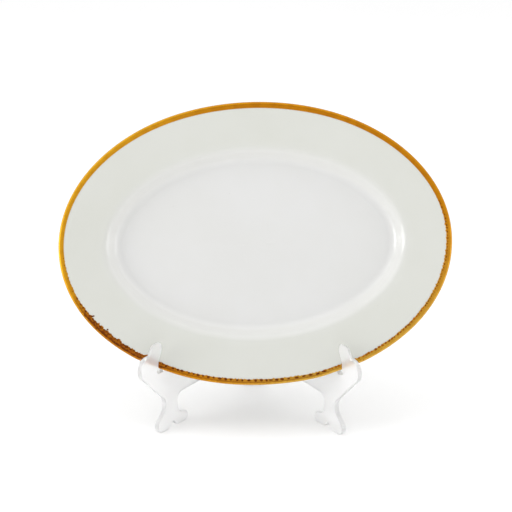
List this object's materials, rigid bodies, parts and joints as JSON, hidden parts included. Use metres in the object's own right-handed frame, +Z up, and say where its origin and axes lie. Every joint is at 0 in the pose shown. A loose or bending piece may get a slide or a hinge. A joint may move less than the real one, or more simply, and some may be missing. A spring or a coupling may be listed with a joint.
{
  "type": "serving platter on a folding plate stand",
  "caption": "Oval white porcelain serving platter with an amber and gold speckled rim band, leaning on a folding clear plastic plate stand.",
  "frame": {"origin": "on the table, under the middle of the whole object's box", "axes": "+X to the right along the platter's length, the platter faces -Y, +Z up"},
  "size_m": [0.3598, 0.1434, 0.294],
  "materials": {
    "porcelain": "white glaze, glossy",
    "rim_glaze": "amber and gold lustre glaze with small brown speckles",
    "clear_plastic": "translucent moulded plastic, lightly frosted",
    "pin_plastic": "translucent moulded plastic"
  },
  "bodies": {
    "stand_hinge": {"hinge_pin": "pin_plastic"},
    "left_leg": {"left_leg": "clear_plastic"},
    "right_leg": {"right_leg": "clear_plastic"},
    "platter": {"platter_body": "porcelain", "rim_band": "rim_glaze"}
  },
  "joints": [
    {"name": "platter_lift", "type": "slide", "parent": "stand_hinge", "child": "platter", "axis": [0, 0, 1], "range_m": [0, 0.14]},
    {"name": "left_fold", "type": "hinge", "parent": "stand_hinge", "child": "left_leg", "pos_m": [-0.0033, 0.06641, 0.039], "axis": [0, 0, 1], "range_deg": [0, 35]},
    {"name": "right_fold", "type": "hinge", "parent": "stand_hinge", "child": "right_leg", "pos_m": [-0.0033, 0.06641, 0.039], "axis": [0, 0, 1], "range_deg": [-35, 0]}
  ],
  "couplings": [
    {"joint": "left_fold", "follows": "platter_lift", "rad_per_m": 4.3633},
    {"joint": "right_fold", "follows": "platter_lift", "rad_per_m": -4.3633}
  ]
}
